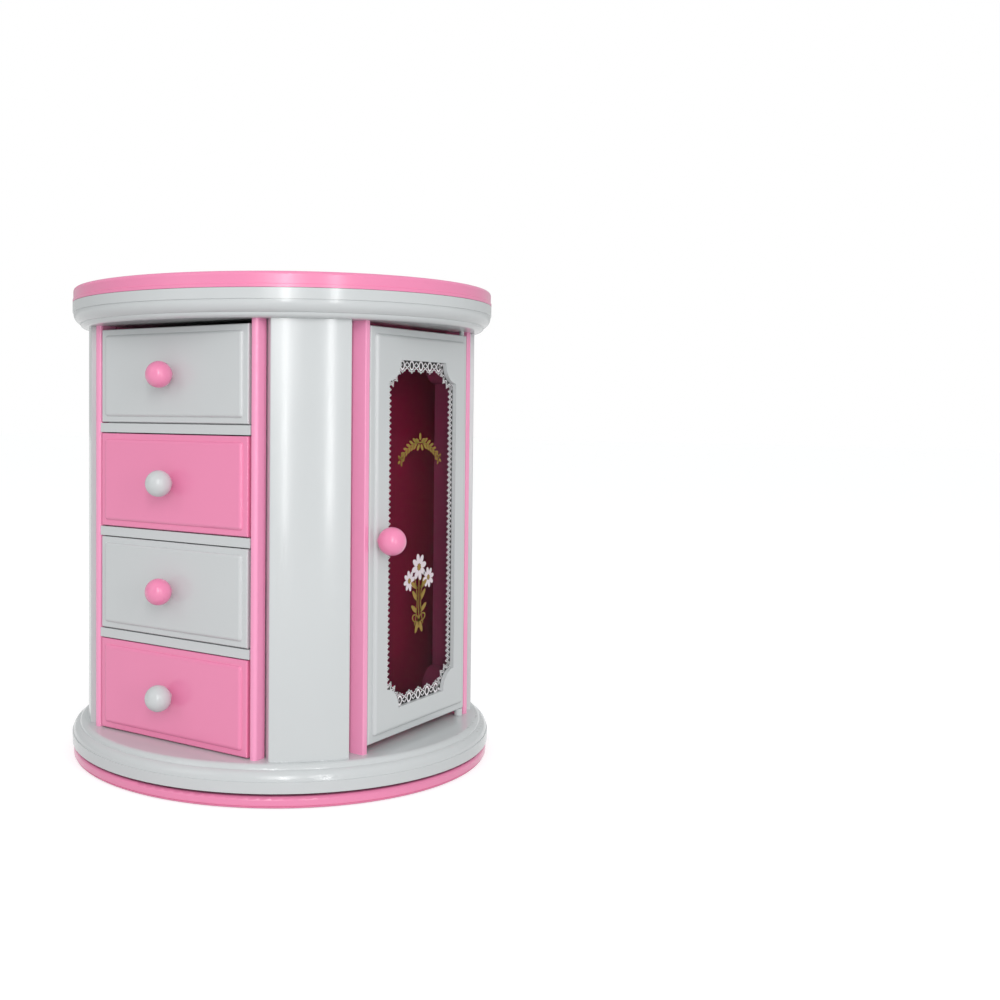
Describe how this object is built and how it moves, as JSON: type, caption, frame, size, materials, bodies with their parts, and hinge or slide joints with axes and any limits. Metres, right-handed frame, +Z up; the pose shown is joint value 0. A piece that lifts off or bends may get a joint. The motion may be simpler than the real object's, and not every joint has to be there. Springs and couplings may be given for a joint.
{
  "type": "musical jewellery tower",
  "caption": "Round wind-up musical jewellery tower that turns on its foot, with ball-knob drawers, glazed necklace doors and a hinged lid over a ring tray.",
  "frame": {"origin": "centre of the underside, on the plane that the pads rest on", "axes": "+Z up along the turning axis, -Y out of the drawers, +X and -X out of the two doors"},
  "size_m": [0.2012, 0.2012, 0.2205],
  "materials": {
    "pink_abs": "moulded satin gloss",
    "white_abs": "moulded satin gloss",
    "tinted_pane": "clear tinted styrene",
    "rubber_pad": "matt",
    "acetal": "waxy",
    "steel": "plated",
    "zinc": "as cast",
    "brass": "turned",
    "mirror_glass": "silvered",
    "velvet": "flocked"
  },
  "bodies": {
    "base": {"foot_plate": "pink_abs", "foot_pads": "rubber_pad", "thrust_ring": "acetal", "winding_stem": "steel", "stem_nut": "steel", "spring_barrel": "zinc"},
    "cabinet": {"base_moulding": "white_abs", "top_moulding": "white_abs", "floor_screws": "steel", "ceiling_screws": "steel", "bedplate": "zinc", "comb": "steel", "comb_screws": "steel", "movement_screws": "steel", "governor_housing": "steel", "bay_back": "pink_abs", "back_panel": "white_abs", "ring_tray": "velvet", "lid_hinge_pin": "steel", "corner_post_front_right": "pink_abs", "corner_post_front_left": "pink_abs", "corner_post_rear_right": "pink_abs", "corner_post_rear_left": "pink_abs", "corner_panel_front_right": "white_abs", "corner_panel_front_left": "white_abs", "corner_panel_rear_right": "white_abs", "corner_panel_rear_left": "white_abs", "drawer_shelf_1": "white_abs", "drawer_shelf_2": "white_abs", "drawer_shelf_3": "white_abs", "bay_side_right": "pink_abs", "bay_side_left": "pink_abs", "hook_rail_right": "white_abs", "hook_rail_left": "white_abs"},
    "cylinder": {"music_cylinder": "brass"},
    "fan": {"governor_fan": "acetal"},
    "lid": {"lid_shell": "pink_abs", "lid_mirror": "mirror_glass"},
    "drawer_1": {"drawer_1_front": "white_abs", "drawer_1_tray": "white_abs", "drawer_1_knob": "pink_abs"},
    "drawer_2": {"drawer_2_front": "pink_abs", "drawer_2_tray": "pink_abs", "drawer_2_knob": "white_abs"},
    "drawer_3": {"drawer_3_front": "white_abs", "drawer_3_tray": "white_abs", "drawer_3_knob": "pink_abs"},
    "drawer_4": {"drawer_4_front": "pink_abs", "drawer_4_tray": "pink_abs", "drawer_4_knob": "white_abs"},
    "door_right": {"door_frame_right": "white_abs", "door_window_right": "tinted_pane", "door_inner_frame_right": "white_abs", "door_knob_right": "pink_abs"},
    "door_left": {"door_frame_left": "white_abs", "door_window_left": "tinted_pane", "door_inner_frame_left": "white_abs", "door_knob_left": "pink_abs"}
  },
  "joints": [
    {"name": "cabinet_spin", "type": "hinge", "parent": "base", "child": "cabinet", "pos_m": [0, 0, 0], "axis": [0, 0, 1], "continuous": true},
    {"name": "cylinder_spin", "type": "hinge", "parent": "cabinet", "child": "cylinder", "pos_m": [0.0176, 0, 0.0085], "axis": [1, 0, 0], "continuous": true},
    {"name": "fan_spin", "type": "hinge", "parent": "cabinet", "child": "fan", "pos_m": [0.05, 0, 0.005], "axis": [0, 0, 1], "continuous": true},
    {"name": "lid_open", "type": "hinge", "parent": "cabinet", "child": "lid", "pos_m": [0, 0.0974, 0.2137], "axis": [-1, 0, 0], "range_deg": [0, 100]},
    {"name": "drawer_1_slide", "type": "slide", "parent": "cabinet", "child": "drawer_1", "axis": [0, -1, 0], "range_m": [0, 0.08]},
    {"name": "drawer_2_slide", "type": "slide", "parent": "cabinet", "child": "drawer_2", "axis": [0, -1, 0], "range_m": [0, 0.08]},
    {"name": "drawer_3_slide", "type": "slide", "parent": "cabinet", "child": "drawer_3", "axis": [0, -1, 0], "range_m": [0, 0.08]},
    {"name": "drawer_4_slide", "type": "slide", "parent": "cabinet", "child": "drawer_4", "axis": [0, -1, 0], "range_m": [0, 0.08]},
    {"name": "door_right_swing", "type": "hinge", "parent": "cabinet", "child": "door_right", "pos_m": [0.0777, 0.0385, 0.021], "axis": [0, 0, 1], "range_deg": [0, 100]},
    {"name": "door_left_swing", "type": "hinge", "parent": "cabinet", "child": "door_left", "pos_m": [-0.0777, -0.0385, 0.021], "axis": [0, 0, 1], "range_deg": [0, 100]}
  ],
  "couplings": [
    {"joint": "cylinder_spin", "follows": "cabinet_spin", "ratio": 5.1},
    {"joint": "fan_spin", "follows": "cabinet_spin", "ratio": 40.8}
  ]
}
